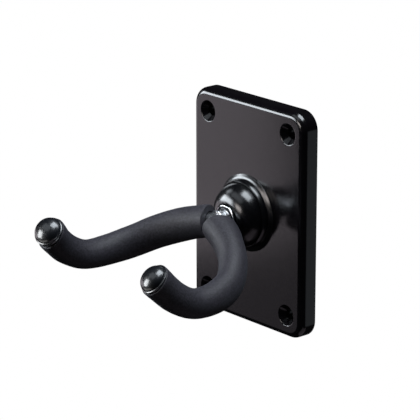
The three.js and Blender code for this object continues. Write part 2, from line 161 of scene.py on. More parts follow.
class Arm:
    """One padded arm. A lean is how far the foam's cut end runs along the rod for each
    millimetre across it: towards the front and the top at the root, towards the other arm
    and the top at the tip."""

    def __init__(self, side, start_x, root_lean, tip_lean, cap_proud):
        self.side = side
        self.start_x = start_x
        self.root_lean = root_lean
        self.tip_lean = tip_lean
        self.cap_proud = cap_proud


LEFT = Arm(-1, 2.2, (0.2, 0.08), (0.22, 0.17), 2.6)
RIGHT = Arm(1, 5.9, (0.38, 0.06), (0.06, 0.1), 0.6)

COLLAR_TOP_R = 7.1
COLLAR_FOOT_R = 6.4
COLLAR_L = 5
COLLAR_SLOPE = 0.25
COLLAR_GAP = 0.12
MOUTH_SLACK = 0.3
CAP_DOME_R = 6.6
CAP_DOME_L = 4.4
SOCKET_R = ROD_R + 0.3
SOCKET_FOOT_R = 4.8
SOCKET_TOP = CAP_DOME_L - 1.2
SOCKET_SHOULDER = CAP_DOME_L - 2.8


# ---------------------------------------------------------------- mesh helpers


def add_mesh(name, points, faces, sharp_deg=35, turn=None):
    """Mesh object from points in millimetres, shaded smooth below the given edge angle."""
    mesh = bpy.data.meshes.new(name)
    mesh.from_pydata([Vector(p) * MM for p in points], [], faces)
    if turn is not None:
        mesh.transform(turn)
    clean = bmesh.new()
    clean.from_mesh(mesh)
    bmesh.ops.remove_doubles(clean, verts=clean.verts, dist=1e-7)
    bmesh.ops.recalc_face_normals(clean, faces=clean.faces)
    clean.to_mesh(mesh)
    clean.free()
    thing = bpy.data.objects.new(name, mesh)
    bpy.context.scene.collection.objects.link(thing)
    smooth(thing, sharp_deg)
    return thing


def smooth(thing, sharp_deg):
    thing.data.shade_smooth()
    thing.data.set_sharp_from_angle(angle=math.radians(sharp_deg))


def apply_modifiers(thing):
    """Replaces the object's mesh with the result of its modifiers."""
    depsgraph = bpy.context.evaluated_depsgraph_get()
    final = bpy.data.meshes.new_from_object(thing.evaluated_get(depsgraph))
    thing.modifiers.clear()
    thing.data = final


def even_normals(thing):
    """Keeps large flat faces flat-shaded beside their small rounded edges."""
    modifier = thing.modifiers.new("even_normals", "WEIGHTED_NORMAL")
    modifier.keep_sharp = True
    modifier.weight = 80


def loft(name, rings, wrapped=False, **options):
    """Closed surface through equal-sized rings of points."""
    size = len(rings[0])
    points = [point for ring in rings for point in ring]
    bands = len(rings) if wrapped else len(rings) - 1
    faces = []
    for band in range(bands):
        here = band * size
        there = (band + 1) % len(rings) * size
        for i in range(size):
            j = (i + 1) % size
            faces.append((here + i, here + j, there + j, there + i))
    if not wrapped:
        last = (len(rings) - 1) * size
        faces.append(tuple(range(size)))
        faces.append(tuple(range(last, last + size)))
    return add_mesh(name, points, faces, **options)


def arc(centre, half_r, half_out, start_deg, end_deg, steps):
    """Profile points along an elliptical arc."""
    points = []
    for i in range(steps + 1):
        angle = math.radians(start_deg + (end_deg - start_deg) * i / steps)
        r = centre[0] + half_r * math.cos(angle)
        points.append((r, centre[1] + half_out * math.sin(angle)))
    return points


def rounded(profile, steps=5):
    """Profile whose corners given as (radius, out, round) become small arcs."""
    count = len(profile)
    result = []
    for i, corner in enumerate(profile):
        here = Vector(corner[:2])
        round_r = corner[2] if len(corner) > 2 else 0
        if not round_r:
            result.append(tuple(here))
            continue
        back = (Vector(profile[i - 1][:2]) - here).normalized()
        ahead = (Vector(profile[(i + 1) % count][:2]) - here).normalized()
        half = back.angle(ahead) / 2
        centre = here + (back + ahead).normalized() * (round_r / math.sin(half))
        first = here + back * (round_r / math.tan(half)) - centre
        last = here + ahead * (round_r / math.tan(half)) - centre
        for step in range(steps + 1):
            direction = first.lerp(last, step / steps).normalized()
            result.append(tuple(centre + direction * round_r))
    return result


def lathe(name, profile, segments=96, at=(0, 0), **options):
    """Solid of revolution along the swivel direction. A profile that touches the axis at
    both ends is a plain solid; any other goes once round a closed loop."""
    on_axis = profile[0][0] == 0 and profile[-1][0] == 0
    count = len(profile)
    points = []
    for i in range(segments):
        angle = 2 * math.pi * i / segments
        for r, out in profile:
            points.append((at[0] + r * math.cos(angle), -out, at[1] + r * math.sin(angle)))
    faces = []
    for i in range(segments):
        here = i * count
        there = (i + 1) % segments * count
        for k in range(count - 1 if on_axis else count):
            m = (k + 1) % count
            ring = [here + k, here + m, there + m, there + k]
            if profile[k][0] == 0:
                ring.remove(there + k)
            if profile[m][0] == 0:
                ring.remove(there + m)
            faces.append(tuple(ring))
    return add_mesh(name, points, faces, **options)


def cut(thing, *tools):
    """Cuts each tool out of the object and deletes it."""
    for tool in tools:
        modifier = thing.modifiers.new("cut", "BOOLEAN")
        modifier.operation = "DIFFERENCE"
        modifier.solver = "EXACT"
        modifier.object = tool
    apply_modifiers(thing)
    for tool in tools:
        bpy.data.objects.remove(tool)


def block(name, size, centre, turn=None):
    """Box used as a cutting tool, turned about the swivel direction."""
    half = [s / 2 for s in size]
    signs = [(x, y, z) for x in (-1, 1) for y in (-1, 1) for z in (-1, 1)]
    points = [Vector((x * half[0], y * half[1], z * half[2])) for x, y, z in signs]
    if turn:
        points = [Matrix.Rotation(turn, 3, "Y") @ p for p in points]
    points = [p + Vector(centre) for p in points]
    faces = [(0, 1, 3, 2), (4, 6, 7, 5), (0, 4, 5, 1), (2, 3, 7, 6), (0, 2, 6, 4), (1, 5, 7, 3)]
    return add_mesh(name, points, faces)


def peg(r, near, far, at=(0, 0), segments=64):
    """Plain cylinder used as a cutting tool."""
    return lathe("tool", [(0, near), (r, near), (r, far), (0, far)], segments, at)


# ---------------------------------------------------------------- materials


class Finish:
    """A Principled material with helpers for procedural detail in object space."""

    def __init__(self, name, **inputs):
        self.material = bpy.data.materials.new(name)
        self.material.use_nodes = True
        self.tree = self.material.node_tree
        self.shader = self.tree.nodes["Principled BSDF"]
        self.coords = self.tree.nodes.new("ShaderNodeTexCoord").outputs["Object"]
        self.normal = None
        for key, value in inputs.items():
            self.shader.inputs[key.replace("_", " ")].default_value = value

    def stretched(self, x, y, z):
        """Object coordinates stretched along an axis, for streaks."""
        node = self.tree.nodes.new("ShaderNodeMapping")
        node.inputs["Scale"].default_value = (x, y, z)
        self.tree.links.new(self.coords, node.inputs["Vector"])
        return node.outputs["Vector"]

    def noise(self, feature_mm, detail=4.0, coords=None):
        node = self.tree.nodes.new("ShaderNodeTexNoise")
        node.inputs["Scale"].default_value = 1 / (feature_mm * MM)
        node.inputs["Detail"].default_value = detail
        self.tree.links.new(coords or self.coords, node.inputs["Vector"])
        return node.outputs["Fac"]

    def cells(self, feature_mm):
        node = self.tree.nodes.new("ShaderNodeTexVoronoi")
        node.inputs["Scale"].default_value = 1 / (feature_mm * MM)
        self.tree.links.new(self.coords, node.inputs["Vector"])
        return node.outputs["Distance"]

    def spread(self, source, low, high, dark=0.35, light=0.65):
        """Maps a noise value from dark..light to low..high."""
        node = self.tree.nodes.new("ShaderNodeMapRange")
        node.inputs["From Min"].default_value = dark
        node.inputs["From Max"].default_value = light
        node.inputs["To Min"].default_value = low
        node.inputs["To Max"].default_value = high
        self.tree.links.new(source, node.inputs["Value"])
        return node.outputs["Result"]

    def colours(self, source, first, second):
        """Base colour blended between two colours by a 0..1 value."""
        node = self.tree.nodes.new("ShaderNodeMix")
        node.data_type = "RGBA"
        node.inputs["A"].default_value = (*first, 1)
        node.inputs["B"].default_value = (*second, 1)
        self.tree.links.new(source, node.inputs["Factor"])
        self.tree.links.new(node.outputs["Result"], self.shader.inputs["Base Color"])

    def drive(self, source, name):
        self.tree.links.new(source, self.shader.inputs[name])

    def bump(self, source, height_mm, strength=1.0):
        """Adds surface relief; later calls build on earlier ones."""
        node = self.tree.nodes.new("ShaderNodeBump")
        node.inputs["Distance"].default_value = height_mm * MM
        node.inputs["Strength"].default_value = strength
        self.tree.links.new(source, node.inputs["Height"])
        if self.normal is not None:
            self.tree.links.new(self.normal, node.inputs["Normal"])
        self.normal = node.outputs["Normal"]
        self.tree.links.new(self.normal, self.shader.inputs["Normal"])


def plate_plastic():
    """Fine satin moulded black with a faint mottle."""
    finish = Finish("plate_plastic", IOR=1.5)
    mottle = finish.noise(9, 3)
    finish.colours(finish.spread(mottle, 0, 1), (0.0014, 0.001, 0.0016), (0.0022, 0.0018, 0.0024))
    finish.drive(finish.spread(finish.noise(1.4, 6), 0.15, 0.2), "Roughness")
    finish.bump(finish.noise(0.35, 3), 0.002)
    finish.bump(finish.noise(5, 2), 0.012)
    return finish.material


def gloss_enamel():
    """Deep black enamel over die-cast zinc, with a slight orange peel."""
    finish = Finish("gloss_enamel", IOR=1.52)
    finish.colours(finish.noise(4), (0.0015, 0.0015, 0.002), (0.0025, 0.0025, 0.0032))
    finish.drive(finish.spread(finish.noise(2.2, 3), 0.19, 0.25), "Roughness")
    finish.bump(finish.noise(1.6, 2), 0.006)
    return finish.material


def cap_plastic():
    """Polished black plastic with soft moulding ripples."""
    finish = Finish("cap_plastic", IOR=1.4, Coat_Weight=0.6, Coat_Roughness=0.16)
    finish.colours(finish.noise(3), (0.003, 0.0035, 0.005), (0.005, 0.006, 0.008))
    finish.drive(finish.spread(finish.noise(1.2, 4), 0.33, 0.38), "Roughness")
    finish.bump(finish.noise(2.5, 2), 0.01)
    return finish.material


def foam_rubber():
    """Matt closed-cell foam: fine pores over a soft, cloudy charcoal."""
    finish = Finish("foam_rubber", Roughness=0.6, Sheen_Weight=0.03, Sheen_Roughness=0.5)
    finish.shader.inputs["Sheen Tint"].default_value = (0.75, 0.85, 1, 1)
    finish.shader.inputs["Specular IOR Level"].default_value = 0.31
    clouds = finish.spread(finish.noise(0.9, 7), 0, 1)
    finish.colours(clouds, (0.0076, 0.0066, 0.009), (0.021, 0.0188, 0.0255))
    finish.bump(finish.cells(0.5), 0.05, 0.8)
    finish.bump(finish.noise(0.8, 5), 0.15, 0.8)
    return finish.material


def polished_chrome():
    finish = Finish("polished_chrome", Metallic=1)
    finish.colours(finish.noise(2), (0.72, 0.73, 0.75), (0.82, 0.83, 0.84))
    finish.drive(finish.spread(finish.noise(0.8, 5), 0.05, 0.14), "Roughness")
    finish.bump(finish.noise(1.5, 3), 0.004)
    return finish.material


def zinc_steel():
    """Bright zinc-plated steel with fine drawing streaks."""
    finish = Finish("zinc_steel", Metallic=1)
    streaks = finish.noise(1.5, 6, finish.stretched(1, 8, 8))
    finish.colours(finish.spread(streaks, 0, 1), (0.38, 0.39, 0.41), (0.6, 0.61, 0.62))
    finish.drive(finish.spread(streaks, 0.2, 0.34), "Roughness")
    finish.bump(finish.noise(0.5, 4), 0.006)
    return finish.material


def spring_steel():
    finish = Finish("spring_steel", Metallic=1)
    finish.colours(finish.noise(1.5), (0.12, 0.12, 0.13), (0.22, 0.21, 0.2))
    finish.drive(finish.spread(finish.noise(0.7, 5), 0.28, 0.42), "Roughness")
    return finish.material


def nylon(name, dark, light):
    finish = Finish(name, IOR=1.53)
    finish.colours(finish.noise(3), dark, light)
    finish.drive(finish.spread(finish.noise(0.8, 4), 0.42, 0.55), "Roughness")
    finish.bump(finish.noise(0.4, 3), 0.006)
    return finish.material


FINISHES = {
    "plate_plastic": plate_plastic(),
    "gloss_paint": gloss_enamel(),
    "gloss_cap": cap_plastic(),
    "black_foam": foam_rubber(),
    "bright_chrome": polished_chrome(),
    "zinc_steel": zinc_steel(),
    "spring_steel": spring_steel(),
    "black_nylon": nylon("black_nylon", (0.01, 0.01, 0.011), (0.018, 0.018, 0.02)),
    "natural_nylon": nylon("natural_nylon", (0.62, 0.6, 0.52), (0.72, 0.7, 0.62)),
}


def place(thing, node, body, slot):
    """Gives a new piece its finish and its body, and puts it in a CAD node's place."""
    thing.data.materials.clear()
    thing.data.materials.append(FINISHES[slot])
    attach(thing, body)
    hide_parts(node)


# ---------------------------------------------------------------- wall plate


def plate_ring(inset, out, corner_steps=14):
    """Rounded rectangle at a distance from the wall."""
    radius = PLATE_CORNER_R - inset
    centre_x = PLATE_W / 2 - PLATE_CORNER_R
    centre_z = PLATE_H / 2 - PLATE_CORNER_R
    points = []
    for corner, (side_x, side_z) in enumerate([(1, 1), (-1, 1), (-1, -1), (1, -1)]):
        for i in range(corner_steps + 1):
            angle = (corner + i / corner_steps) * math.pi / 2
            x = side_x * centre_x + radius * math.cos(angle)
            z = side_z * centre_z + radius * math.sin(angle)
            points.append((x, -out, z))
    return points


def plate_edge(round_r, face_out, towards, steps):
    """Rings round one rounded edge: towards is 1 at the front face, -1 at the back."""
    rings = []
    for i in range(steps + 1):
        angle = i / steps * math.pi / 2
        inset = round_r * (1 - math.cos(angle))
        rings.append(plate_ring(inset, face_out - towards * round_r * (1 - math.sin(angle))))
    return rings


def hollow_back():
    """Tool for the moulded hollow behind the plate, less its hub, pillars and ribs."""
    depth = PLATE_T - PLATE_SKIN
    hollow = loft("hollow", [plate_ring(PLATE_RIM, -1), plate_ring(PLATE_RIM, depth)])
    kept = [peg(HUB_R, -2, depth + 1, segments=96)]
    for x in (-HOLE_X, HOLE_X):
        for z in (-HOLE_Z, HOLE_Z):
            kept.append(peg(PILLAR_R, -2, depth + 1, (x, z)))
    slope = math.atan2(HOLE_Z, HOLE_X)
    for turn in (0, math.pi / 2, slope, -slope):
        kept.append(block("rib", (2 * PLATE_H, 4 * depth, RIB_T), (0, 0, 0), turn))
    cut(hollow, *kept)
    return hollow


def countersink(x, z):
    """Tool for one wall screw hole, with a countersink whose mouth is softly rounded."""
    floor = PLATE_T - COUNTERSINK_DEPTH
    mouth = [(COUNTERSINK_R, PLATE_T, HOLE_LIP), (COUNTERSINK_R + 2, PLATE_T)]
    profile = rounded([(0, -1), (HOLE_R, -1), (HOLE_R, floor), *mouth])
    profile += [(COUNTERSINK_R + 2, PLATE_T + 1), (0, PLATE_T + 1)]
    return lathe("countersink", profile, 72, (x, z))


def boss_screw_places():
    angles = [2 * math.pi * (i + 0.5) / BOSS_SCREWS for i in range(BOSS_SCREWS)]
    return [(SCREW_CIRCLE_R * math.cos(a), SCREW_CIRCLE_R * math.sin(a)) for a in angles]


def build_plate():
    """Rounded slab with its hollow back, screw holes and a small radius on every cut edge."""
    rings = plate_edge(PLATE_BACK_ROUND, 0, -1, 4)[::-1]
    rings += plate_edge(PLATE_FRONT_ROUND, PLATE_T, 1, 10)
    plate = loft("wall_plate", rings)
    tools = [hollow_back(), peg(NUT_ROOM_R, NUT_ROOM_FLOOR, PLATE_T + 1)]
    tools += [countersink(x, z) for x in (-HOLE_X, HOLE_X) for z in (-HOLE_Z, HOLE_Z)]
    for at in boss_screw_places():
        tools.append(peg(SCREW_HEAD_R + SCREW_CLEARANCE, -1, SCREW_POCKET, at, 48))
        tools.append(peg(SCREW_SHANK_R + SCREW_CLEARANCE, -1, PLATE_T + 1, at, 32))
    cut(plate, *tools)
    edges = plate.modifiers.new("edges", "BEVEL")
    edges.width = MOULD_EDGE * MM
    edges.segments = 3
    edges.limit_method = "ANGLE"
    edges.angle_limit = math.radians(32)
    apply_modifiers(plate)
    smooth(plate, 40)
    even_normals(plate)
    apply_modifiers(plate)
    place(plate, "back_plate", "base", "plate_plastic")


# ---------------------------------------------------------------- boss and bearings


def build_boss():
    """Flange, bead and dome outside; the ring's seat, the bush's bore and the nut's room inside."""
    dome = arc(DOME_CENTRE, DOME_ARC_R, DOME_ARC_R, start_deg=4, end_deg=79, steps=30)
    bead_centre = (BEAD_R - BEAD_HALF_R, FLANGE_TOP)
    bead = arc(bead_centre, BEAD_HALF_R, BEAD_HALF_OUT, start_deg=1, end_deg=BEAD_END_DEG, steps=16)
    top = dome[-1][1]
    seat = RING_SEAT - 0.1
    web_bore = STUD_R + 0.5
    profile = rounded(
        [
            (NUT_ROOM_R, PLATE_T),
            (FLANGE_R, PLATE_T),
            (FLANGE_R, PLATE_T + FLANGE_EDGE, 0.2),
            (FLANGE_SHOULDER_R, FLANGE_TOP - FLANGE_SHOULDER_DROP, 0.8),
            (BEAD_R + 0.1, FLANGE_TOP, 0.08),
            *bead[:-1],
            (*bead[-1], BEAD_END_ROUND),
            VALLEY,
            *dome,
            (LIP_R + 0.1, top + 0.05, LIP_ROUND),
            (LIP_R, top - 0.35, LIP_ROUND),
            (LIP_R, seat),
            (BUSH_BORE_R, seat),
            (BUSH_BORE_R, WEB_OUT),
            (web_bore, WEB_OUT),
            (web_bore, NUT_ROOM_OUT),
            (NUT_ROOM_R, NUT_ROOM_OUT),
        ]
    )
    boss = lathe("boss_dome", profile, 160)
    even_normals(boss)
    apply_modifiers(boss)
    place(boss, "boss_collar", "base", "gloss_paint")


def build_chrome_ring():
    bore = RING_R - RING_T
    profile = rounded(
        [
            (bore, RING_SEAT, 0.1),
            (RING_R, RING_SEAT, 0.1),
            (RING_R, RING_OUT, 0.38),
            (bore, RING_OUT, 0.22),
        ]
    )
    ring = lathe("bright_ring", profile, 128)
    place(ring, "chrome_ring", "base", "bright_chrome")


def build_bush():
    near, far = WEB_OUT + 0.1, RING_OUT - 0.3
    bore = STUD_R + RUNNING_GAP
    profile = rounded([(bore, near), (BUSH_R, near), (BUSH_R, far, 0.2), (bore, far, 0.15)])
    bush = lathe("bush", profile)
    place(bush, "swivel_bush", "base", "black_nylon")


def build_boss_screws():
    """Pan-head screws with a cross recess, each stopped at its own angle."""
    top = SCREW_SEAT - SCREW_HEAD_T
    profile = rounded(
        [
            (0, top),
            (SCREW_HEAD_R, top, 0.9),
            (SCREW_HEAD_R, SCREW_SEAT, 0.15),
            (SCREW_SHANK_R, SCREW_SEAT),
            (SCREW_SHANK_R, SCREW_END - 1),
            (0, SCREW_END),
        ]
    )
    for number, at in enumerate(boss_screw_places(), 1):
        screw = lathe(f"screw_{number}", profile, 48, at)
        centre = (at[0], -top, at[1])
        lean = math.radians(20 + 35 * number)
        arms = [block("recess", RECESS_SIZE, centre, lean + turn) for turn in (0, math.pi / 2)]
        cut(screw, *arms)
        smooth(screw, 35)
        place(screw, f"boss_screw_{number}", "base", "zinc_steel")


# ---------------------------------------------------------------- yoke


def rod_way_points():
    """Bends of the whole rod, from the left tip to the right tip."""
    right = [Vector((x, -out, z)) for x, out, z in ARM_BENDS]
    left = [Vector((-p.x, p.y, p.z)) for p in right[:0:-1]]
    return left + right


def spline_point(before, start, end, after, t):
    """Point on a centripetal Catmull-Rom span from start to end."""
    span = [math.sqrt((b - a).length) for a, b in ((before, start), (start, end), (end, after))]
    leave = (start - before) / span[0] - (end - before) / (span[0] + span[1])
    leave = (leave + (end - start) / span[1]) * span[1]
    arrive = (end - start) / span[1] - (after - start) / (span[1] + span[2])
    arrive = (arrive + (after - end) / span[2]) * span[1]
    t2, t3 = t * t, t * t * t
    point = start * (2 * t3 - 3 * t2 + 1) + leave * (t3 - 2 * t2 + t)
    return point + end * (3 * t2 - 2 * t3) + arrive * (t3 - t2)


class RodPath:
    """The rod's centreline, read by distance along it."""

    def __init__(self):
        points = rod_way_points()
        points = [points[0] * 2 - points[1], *points, points[-1] * 2 - points[-2]]
        steps = 40
        self.line = []
        for i in range(1, len(points) - 2):
            for step in range(steps):
                self.line.append(spline_point(*points[i - 1 : i + 3], step / steps))
        self.line.append(points[-2])
        self.reach = [0.0]
        for a, b in zip(self.line, self.line[1:]):
            self.reach.append(self.reach[-1] + (b - a).length)
        self.length = self.reach[-1]

    def at(self, distance):
        distance = min(max(distance, 0), self.length)
        low, high = 0, len(self.reach) - 1
        while high - low > 1:
            middle = (low + high) // 2
            if self.reach[middle] <= distance:
                low = middle
            else:
                high = middle
        part = (distance - self.reach[low]) / (self.reach[high] - self.reach[low])
        return self.line[low].lerp(self.line[high], part)

    def along(self, distance):
        step = 0.6
        return (self.at(distance + step) - self.at(distance - step)).normalized()

    def first(self, passes):
        """Distance at which the right half first meets a condition."""
        for point, distance in zip(self.line, self.reach):
            if distance >= self.length / 2 and passes(point):
                return distance
        return self.length

    def frame(self, distance):
        """Centre and directions at a distance. "sideways" is level with the ground: it points
        to the front at the roots and to the other arm at the tips."""
        along = self.along(distance)
        sideways = along.cross(Vector((0, 0, 1))).normalized()
        return self.at(distance), along, sideways, sideways.cross(along)


def ellipse(spot, sides, half_width, half_height=None, lean=(0, 0), relief=None):
    """Ring of points in a rod frame, moved along the rod by its lean."""
    centre, along, sideways, upwards = spot
    half_height = half_height or half_width
    points = []
    for i in range(sides):
        angle = 2 * math.pi * i / sides
        across = half_width * math.cos(angle)
        up = half_height * math.sin(angle)
        spoke = sideways * across + upwards * up
        point = centre + spoke + along * (across * lean[0] + up * lean[1])
        if relief:
            point += spoke.normalized() * relief(point)
        points.append(point)
    return points


ROD = RodPath()
SLEEVE_END = ROD.first(lambda point: -point.y >= SLEEVE_END_OUT)


def build_rod():
    sides, steps = 64, 300
    straight = ROD.length - 2 * ROD_EDGE
    rings = [ellipse(ROD.frame(0), sides, ROD_R - ROD_EDGE)]
    for i in range(steps + 1):
        rings.append(ellipse(ROD.frame(ROD_EDGE + straight * i / steps), sides, ROD_R))
    rings.append(ellipse(ROD.frame(ROD.length), sides, ROD_R - ROD_EDGE))
    rod = loft("bent_rod", rings, turn=YOKE_TURN)
    place(rod, "yoke_rod", "yoke", "zinc_steel")


def eased(value):
    value = min(max(value, 0), 1)
    return value * value * (3 - 2 * value)


def foam_section(share):
    """Half width and half height of the foam at a share of its length from the root."""
    for (a, *start), (b, *end) in zip(FOAM_SECTIONS, FOAM_SECTIONS[1:]):
        if share <= b:
            ease = eased((share - a) / (b - a))
            return [s + (e - s) * ease for s, e in zip(start, end)]
    return FOAM_SECTIONS[-1][1:]


def foam_relief(point):
    """Soft unevenness of the foam's skin in millimetres: slow waves and fine grain."""
    waves = 0.12 * noise.noise(point / 9)
    grain = 0.03 * noise.noise(point / 2.2)
    return waves + grain


class Sleeve:
    """One foam tube, from its root beside the stud to its tip round the cap's collar."""

    sides = 96

    def __init__(self, arm):
        self.arm = arm
        self.start = ROD.first(lambda point: point.x >= arm.start_x)
        self.length = SLEEVE_END - self.start
        self.mouth_depth = COLLAR_L - arm.cap_proud + MOUTH_SLACK

    def frame(self, distance):
        along_right = self.start + distance
        return ROD.frame(along_right if self.arm.side > 0 else ROD.length - along_right)

    def lean(self, distance):
        root = eased(1 - distance / LEAN_REACH)
        tip = eased(1 - (self.length - distance) / LEAN_REACH)
        pairs = zip(self.arm.tip_lean, self.arm.root_lean)
        return [self.arm.side * (tip * t - root * r) for t, r in pairs]

    def outer(self, distance, thinner=0.0):
        width, height = foam_section(min(max(distance / self.length, 0), 1))
        half_width, half_height = width - thinner, height - thinner
        lean = self.lean(distance)
        return ellipse(self.frame(distance), self.sides, half_width, half_height, lean, foam_relief)

    def cut_edge(self, face, inwards, depth, thinner_limit=1.0):
        """Rings round one cut edge, from the end face to the side."""
        steps, rings = 6, []
        for i in range(steps):
            angle = i / steps * math.pi / 2
            thinner = min(depth * (1 - math.sin(angle)), thinner_limit)
            rings.append(self.outer(face + inwards * depth * (1 - math.cos(angle)), thinner))
        return rings

    def skin(self):
        """Rings of the outside, from the root's cut edge to the thin edge round the cap."""
        steps = 260
        straight = self.length - 2 * SLEEVE_EDGE
        rings = self.cut_edge(0, 1, SLEEVE_EDGE)
        rings += [self.outer(SLEEVE_EDGE + straight * i / steps) for i in range(steps + 1)]
        return rings + self.cut_edge(self.length, -1, SLEEVE_EDGE, 0.3)[::-1]

    def mouth(self):
        """Tapered seat for the cap's collar, square to the cap."""
        arm = self.arm
        taper = (COLLAR_TOP_R - COLLAR_FOOT_R) / COLLAR_L
        rim_r = COLLAR_TOP_R - taper * arm.cap_proud + COLLAR_GAP
        centre, along, sideways, upwards = self.frame(self.length)
        foot = centre - along * (arm.side * self.mouth_depth)
        centre += (sideways * arm.tip_lean[0] + upwards * arm.tip_lean[1]) * (taper * rim_r)
        lean = self.lean(self.length)
        return [
            ellipse((centre, along, sideways, upwards), self.sides, rim_r, lean=lean),
            ellipse((foot, along, sideways, upwards), self.sides, COLLAR_FOOT_R + COLLAR_GAP),
        ]

    def bore(self):
        """Rings of the hole for the rod, from the cap's seat back to the root."""
        steps, rings = 80, []
        for i in range(steps, -1, -1):
            distance = (self.length - self.mouth_depth) * i / steps
            lean = self.lean(distance) if distance < LEAN_REACH else (0, 0)
            rings.append(ellipse(self.frame(distance), self.sides, SLEEVE_BORE_R, lean=lean))
        return rings


def build_sleeve(arm, name, node):
    sleeve = Sleeve(arm)
    rings = sleeve.skin() + sleeve.mouth() + sleeve.bore()
    foam = loft(name, rings, wrapped=True, turn=YOKE_TURN, sharp_deg=50)
    cut(foam, peg(STUD_CLEARANCE_R, RING_OUT - 3, ROD_OUT))
    smooth(foam, 50)
    place(foam, node, "yoke", "black_foam")


def build_cap(arm, name, node):
    """Domed plug: a tapered collar in the foam, a narrow shoulder, and a socket for the rod."""
    dome = arc((0, 0), CAP_DOME_R, CAP_DOME_L, start_deg=5, end_deg=90, steps=26)
    profile = rounded(
        [
            (0, SOCKET_TOP),
            (SOCKET_R, SOCKET_SHOULDER),
            (SOCKET_R, -1),
            (SOCKET_FOOT_R, -COLLAR_L),
            (COLLAR_FOOT_R, -COLLAR_L, 0.3),
            (COLLAR_TOP_R, -COLLAR_SLOPE, 0.15),
            (CAP_DOME_R, 0, 0.05),
            *dome[:-1],
            (0, CAP_DOME_L),
        ]
    )
    distance = SLEEVE_END if arm.side > 0 else ROD.length - SLEEVE_END
    along = ROD.along(distance) * arm.side
    base = ROD.at(distance) + along * arm.cap_proud
    turn = Vector((0, -1, 0)).rotation_difference(along).to_matrix().to_4x4()
    place_cap = YOKE_TURN @ Matrix.Translation(base * MM) @ turn
    cap = lathe(name, profile, 96, turn=place_cap, sharp_deg=50)
    place(cap, node, "yoke", "gloss_cap")


def build_stud():
    """Shaft with a shoulder at the ring, cut to the rod's shape at its front end."""
    end = ROD_OUT - STUD_END_DEPTH
    profile = rounded(
        [
            (0, STUD_START),
            (STUD_R, STUD_START, 0.6),
            (STUD_R, RING_OUT),
            (SHOULDER_R, RING_OUT, 0.15),
            (SHOULDER_R, RING_OUT + SHOULDER_T, 0.3),
            (STUD_R, RING_OUT + 2 * SHOULDER_T, 0.2),
            (STUD_R, end),
            (0, end),
        ]
    )
    stud = lathe("stud", profile, 96, turn=YOKE_TURN)
    middle = ROD.length / 2
    rings = [ellipse(ROD.frame(middle + step), 64, ROD_R + 0.05) for step in range(-9, 10, 3)]
    cut(stud, loft("saddle", rings, turn=YOKE_TURN))
    smooth(stud, 35)
    place(stud, "swivel_stud", "yoke", "zinc_steel")


def build_weld():
    """Weld bead with the ripples of its passes, laid round the foot of the rod."""
    sides, section_steps, passes = 144, 14, 30
    bead_half_r, bead_half_out, ripple_height = 0.75, 0.95, 0.07
    highest, sink = ROD_OUT - 2.6, 0.15
    rings = []
    for i in range(sides):
        angle = 2 * math.pi * i / sides
        drift = 0.8 * math.sin(3 * angle)
        ripple = ripple_height * math.sin(passes * angle + drift)
        saddle = ROD_OUT - math.sqrt(max(ROD_R**2 - (STUD_R * math.sin(angle)) ** 2, 0.0))
        foot = min(saddle, highest) - sink
        ring = []
        for k in range(section_steps):
            turn = 2 * math.pi * k / section_steps
            r = STUD_R + 0.1 + (bead_half_r + ripple) * math.cos(turn)
            out = foot + (bead_half_out + ripple) * math.sin(turn)
            ring.append((r * math.cos(angle), -out, r * math.sin(angle)))
        rings.append(ring)
    bead = loft("weld", rings, wrapped=True, turn=YOKE_TURN, sharp_deg=80)
    place(bead, "weld_bead", "yoke", "zinc_steel")


def dress_hidden_nodes():
    """Washers and nut inside the boss keep their CAD shape and get their own finish."""
    hidden = {
        "friction_washer": "natural_nylon",
        "steel_washer": "zinc_steel",
        "disc_spring": "spring_steel",
        "lock_nut": "zinc_steel",
        "nut_insert": "black_nylon",
    }
    for node, slot in hidden.items():
        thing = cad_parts[node]
        thing.data.materials.clear()
        thing.data.materials.append(FINISHES[slot])
        smooth(thing, 35)


# ---------------------------------------------------------------- studio

STUDIO_CENTRE = Vector((0, -0.03, 0))
FLOOR_DROP = 300
FLOOR_HALF = 5000


def compass(azimuth, elevation):
    """Direction at an angle to the right of straight out from the wall and one above level."""
    turn, rise = math.radians(azimuth), math.radians(elevation)
    level = math.cos(rise)
    return Vector((level * math.sin(turn), -level * math.cos(turn), math.sin(rise)))


def area_light(name, direction, distance, size, radiance, colour, card=False, only=(), without=()):
    """Rectangular softbox that faces the hanger from a compass direction, in metres. A card
    only shows in glossy surfaces. A light reaches every piece, unless "only" names its few
    or "without" names those that it passes by."""
    light = bpy.data.lights.new(name, "AREA")
    light.shape = "RECTANGLE"
    light.size, light.size_y = size
    light.energy = radiance * math.pi * size[0] * size[1]
    light.color = colour
    lamp = bpy.data.objects.new(name, light)
    away = compass(*direction)
    lamp.location = STUDIO_CENTRE + away * distance
    lamp.rotation_euler = (-away).to_track_quat("-Z", "Y").to_euler()
    lamp.visible_camera = False
    lamp.visible_diffuse = not card
    bpy.context.scene.collection.objects.link(lamp)
    if only or without:
        linked = bpy.data.collections.new(f"{name}_linked")
        for thing in (*only, *without):
            linked.objects.link(bpy.data.objects[thing])
        for entry in linked.collection_objects:
            entry.light_linking.link_state = "INCLUDE" if only else "EXCLUDE"
        lamp.light_linking.receiver_collection = linked


